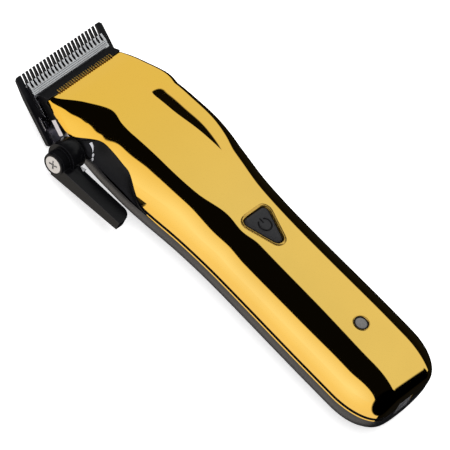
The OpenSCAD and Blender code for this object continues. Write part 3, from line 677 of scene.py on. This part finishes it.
def build_button():
    bm = bmesh.new()
    n = 120

    def ring(grow, z, share=1.0):
        """The button's outline at a height, as a share of its size."""
        out = []
        for f in [2 * math.pi * k / n for k in range(n)]:
            r = share * button_radius(f, grow)
            out.append(bm.verts.new(((BUTTON_X + r * math.cos(f)) * MM, r * math.sin(f) * MM, z * MM)))
        return out

    top = BUTTON_TOP
    rings = [ring(grow, top + z) for grow, z in ((0, -3.4), (0, -0.95), (-0.08, -0.6), (-0.3, -0.28),
                                                 (-0.65, -0.08), (-1.1, 0), (-1.5, 0.02))]
    rings += [ring(-1.5, top + 0.02 + 0.1 * (1 - share * share), share) for share in (0.75, 0.5, 0.25)]
    for last, following in zip(rings, rings[1:]):
        bridge(bm, last, following)
    tip = bm.verts.new((BUTTON_X * MM, 0, (top + 0.12) * MM))
    for k in range(n):
        bm.faces.new((rings[-1][k], rings[-1][(k + 1) % n], tip))
    bmesh.ops.recalc_face_normals(bm, faces=bm.faces)
    return finish_mesh("button_cap", bm, [RUBBER], "button")


button_cap = build_button()
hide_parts("power_button")

# The power mark: an open ring, its gap in degrees either side, and a stroke through the gap
ICON_X, ICON_R, ICON_GAP, STROKE = BUTTON_X + 1.2, 2.5, 32, 0.34
bm = bmesh.new()
z = (BUTTON_TOP + 0.02) * MM
tube(bm, [((ICON_X + ICON_R * math.cos(f)) * MM, ICON_R * math.sin(f) * MM, z)
          for f in [math.radians(ICON_GAP + (360 - 2 * ICON_GAP) * k / 48) for k in range(49)]],
     STROKE * MM)
tube(bm, [((ICON_X + 0.9 + 0.12 * k) * MM, 0, z) for k in range(17)], STROKE * MM)
finish_mesh("power_mark", bm, [BLACK_AND_GROOVE_SHADE], "button")

bm = bmesh.new()
at_lens = Matrix.Translation((LENS_X * MM, 0, crown_z(HALF - LENS_X, 0) * MM))
revolve(bm, [(LENS_R, -1.6), (LENS_R, -0.25), (2.1, -0.08), (1.7, 0.02), (1.0, 0.1), (0.4, 0.13),
             (0.05, 0.14)], at_lens)
lens = finish_mesh("charge_light", bm, [LENS], "housing")
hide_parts("indicator_lens")
bm = bmesh.new()
revolve(bm, [(LENS_R + 0.03, -1.5), (LENS_R + 0.03, -0.06), (LENS_R + 0.1, 0.0), (LENS_R + 0.3, 0.0),
             (LENS_R + 0.4, -0.08), (LENS_R + 0.42, -1.5)], at_lens)
finish_mesh("charge_light_rim", bm, [BLACK_AND_GROOVE_SHADE], "housing")

# ---------------------------------------------------------------- scale beside the lever

PIVOT_X, PIVOT_Z, SCALE_R = 57.0, 11.0, 8.7


def panel_y(x, z):
    """Surface of the finger scallop on the lever's side."""
    a = HALF - x
    top = edge_z(a, 1) - 0.6
    t = max(0.0, min(1.0, (z - JOINT_Z) / (top - JOINT_Z)))
    return panel_point(a, t, 1)[0]


def scale_mark(name, outline):
    """A thin printed patch that lies on the scallop, from an outline in x and z."""
    bm = bmesh.new()
    front = [bm.verts.new((x * MM, (panel_y(x, z) + 0.14) * MM, z * MM)) for x, z in outline]
    back = [bm.verts.new((x * MM, (panel_y(x, z) - 0.2) * MM, z * MM)) for x, z in outline]
    bridge(bm, front, back)
    bm.faces.new(front)
    bmesh.ops.recalc_face_normals(bm, faces=bm.faces)
    return finish_mesh(name, bm, [MARK], "housing", math.radians(30))


def on_scale(deg, r=SCALE_R):
    """x and z of a point round the lever's pivot."""
    f = math.radians(deg)
    return PIVOT_X + r * math.cos(f), PIVOT_Z + r * math.sin(f)


def ellipse(deg, along, across):
    """The outline of an oval on the scale's arc."""
    c = on_scale(deg)
    f = math.radians(deg)
    return [(c[0] + across * math.cos(q) * math.cos(f) - along * math.sin(q) * math.sin(f),
             c[1] + across * math.cos(q) * math.sin(f) + along * math.sin(q) * math.cos(f))
            for q in [2 * math.pi * k / 20 for k in range(20)]]


scale_mark("scale_wedge", [on_scale(138 - 3 * k, SCALE_R - 0.3 + 0.07 * k) for k in range(9)]
           + [on_scale(114 + 3 * k, SCALE_R - 0.9 + 0.07 * k) for k in range(9)])
for k, deg in enumerate((144, 153)):
    scale_mark(f"scale_oval_{k}", ellipse(deg, 0.62, 0.34))

bm = bmesh.new()
LEVER_TOP = 11.35
POINTER = [(50.6, 26.0), (48.4, 25.1), (48.4, 26.9)]
low_ring = [bm.verts.new((x * MM, y * MM, (LEVER_TOP - 0.4) * MM)) for x, y in POINTER]
top_ring = [bm.verts.new((x * MM, y * MM, (LEVER_TOP + 0.35) * MM)) for x, y in POINTER]
bridge(bm, low_ring, top_ring)
bm.faces.new(top_ring)
bmesh.ops.recalc_face_normals(bm, faces=bm.faces)
finish_mesh("lever_pointer", bm, [MARK], "lever", math.radians(30))

# ---------------------------------------------------------------- floor, light and camera

bm = bmesh.new()
bmesh.ops.create_grid(bm, x_segments=8, y_segments=8, size=4.0)
mesh = bpy.data.meshes.new("floor")
bm.to_mesh(mesh)
bm.free()
floor = bpy.data.objects.new("floor", mesh)
floor.location.z = -0.0002
bpy.context.scene.collection.objects.link(floor)
pale = material("pale_floor", (0.90, 0.90, 0.90), 0.75, tint=0.01, scale=6, bump=0.0)
# The floor glows a little, as paper lit from behind does, so the shadows stay faint
glow = pale.node_tree.nodes["Principled BSDF"]
glow.inputs["Emission Color"].default_value = (1, 1, 1, 1)
glow.inputs["Emission Strength"].default_value = 0.62
mesh.materials.append(pale)
floor.visible_glossy = False

# The studio: long soft lights either side of a dark ceiling, as angles from the zenith towards +Y
BRIGHT_RIGHT, BRIGHT_LEFT = (-54, -30.5), 45
STOPS = [(-180, (0.004,) * 3), (-88, (0.01,) * 3), (BRIGHT_RIGHT[0] - 1.5, (0.004,) * 3),
         (BRIGHT_RIGHT[0], (0.98, 0.98, 0.95)), (BRIGHT_RIGHT[1], (0.96, 1.0, 1.0)),
         (BRIGHT_RIGHT[1] + 1.0, (0.003,) * 3), (BRIGHT_LEFT - 1.0, (0.003,) * 3),
         (BRIGHT_LEFT, (1.12, 1.05, 0.9)), (82, (1.3, 1.35, 1.7)), (125, (1.2, 1.12, 1.0)),
         (180, (1.1, 1.0, 0.9))]
world = bpy.data.worlds.new("studio")
bpy.context.scene.world = world
world.use_nodes = True
wt = world.node_tree
coords = wt.nodes.new("ShaderNodeTexCoord")
split = wt.nodes.new("ShaderNodeSeparateXYZ")
turn = wt.nodes.new("ShaderNodeMath")
turn.operation = "ARCTAN2"
span = wt.nodes.new("ShaderNodeMapRange")
span.inputs["From Min"].default_value, span.inputs["From Max"].default_value = -math.pi, math.pi
ramp = wt.nodes.new("ShaderNodeValToRGB")
wt.links.new(coords.outputs["Generated"], split.inputs["Vector"])
wt.links.new(split.outputs["Y"], turn.inputs[0])


def math_node(operation, *inputs):
    node = wt.nodes.new("ShaderNodeMath")
    node.operation = operation
    for socket, source in zip(node.inputs, inputs):
        wt.links.new(source, socket)
    return node.outputs["Value"]


out_x, out_z = split.outputs["X"], split.outputs["Z"]
# The lights end towards the tail, so its round corner mirrors the dark
fade = wt.nodes.new("ShaderNodeMapRange")
fade.inputs["From Min"].default_value, fade.inputs["From Max"].default_value = -0.69, -0.65
wt.links.new(out_x, fade.inputs["Value"])
reach = math_node("SQRT", math_node("ADD", math_node("MULTIPLY", out_x, out_x),
                                    math_node("MULTIPLY", out_z, out_z)))
wt.links.new(math_node("MULTIPLY", reach, math_node("SIGN", out_z)), turn.inputs[1])
wt.links.new(turn.outputs["Value"], span.inputs["Value"])
wt.links.new(span.outputs["Result"], ramp.inputs["Fac"])
wt.links.new(ramp.outputs["Color"], wt.nodes["Background"].inputs["Color"])
wt.links.new(fade.outputs["Result"], wt.nodes["Background"].inputs["Strength"])
elements = ramp.color_ramp.elements
while len(elements) < len(STOPS):
    elements.new(0.5)
for element, (deg, light) in zip(elements, STOPS):
    element.position = (deg + 180) / 360
    element.color = (*light, 1)


def softbox(name, place, aim, size, power):
    """A soft area light that lights the floor and the matt parts but isn't mirrored in the plating."""
    data = bpy.data.lights.new(name, "AREA")
    data.shape, data.size, data.energy = "DISK", size, power
    obj = bpy.data.objects.new(name, data)
    obj.location = place
    obj.rotation_mode = "QUATERNION"
    obj.rotation_quaternion = (Vector(aim) - Vector(place)).to_track_quat("-Z", "Y")
    obj.visible_glossy = False
    bpy.context.scene.collection.objects.link(obj)


softbox("key_light", (-0.2, 0.5, 1.6), (0, 0, 0), 1.6, 22)
softbox("fill_light", (0.8, -0.6, 1.2), (0, 0, 0), 1.8, 14)

# Camera: degrees, metres and, for the focal length, mm
AZIMUTH, ELEVATION, ROLL = 199.2, 51.0, 30.3
DISTANCE, FOCAL = 2.67, 600.0
lo, hi = CAD_BOX
target = (lo + hi) / 2 + Vector((0.00085, -0.0036, 0.0006))
az, el, roll = (math.radians(q) for q in (AZIMUTH, ELEVATION, ROLL))
back = Vector((math.sin(az) * math.cos(el), -math.cos(az) * math.cos(el), math.sin(el)))
camera = bpy.data.objects.new("camera", bpy.data.cameras.new("camera"))
bpy.context.scene.collection.objects.link(camera)
camera.data.lens, camera.data.sensor_width = FOCAL, 36.0
camera.data.clip_start, camera.data.clip_end = 0.05, 20
level = back.to_track_quat("Z", "Y").to_matrix()
camera.matrix_world = (Matrix.Translation(target + back * DISTANCE)
                       @ (level @ Matrix.Rotation(roll, 3, "Z")).to_4x4())
bpy.context.scene.camera = camera
bpy.context.scene.view_settings.view_transform = "Standard"
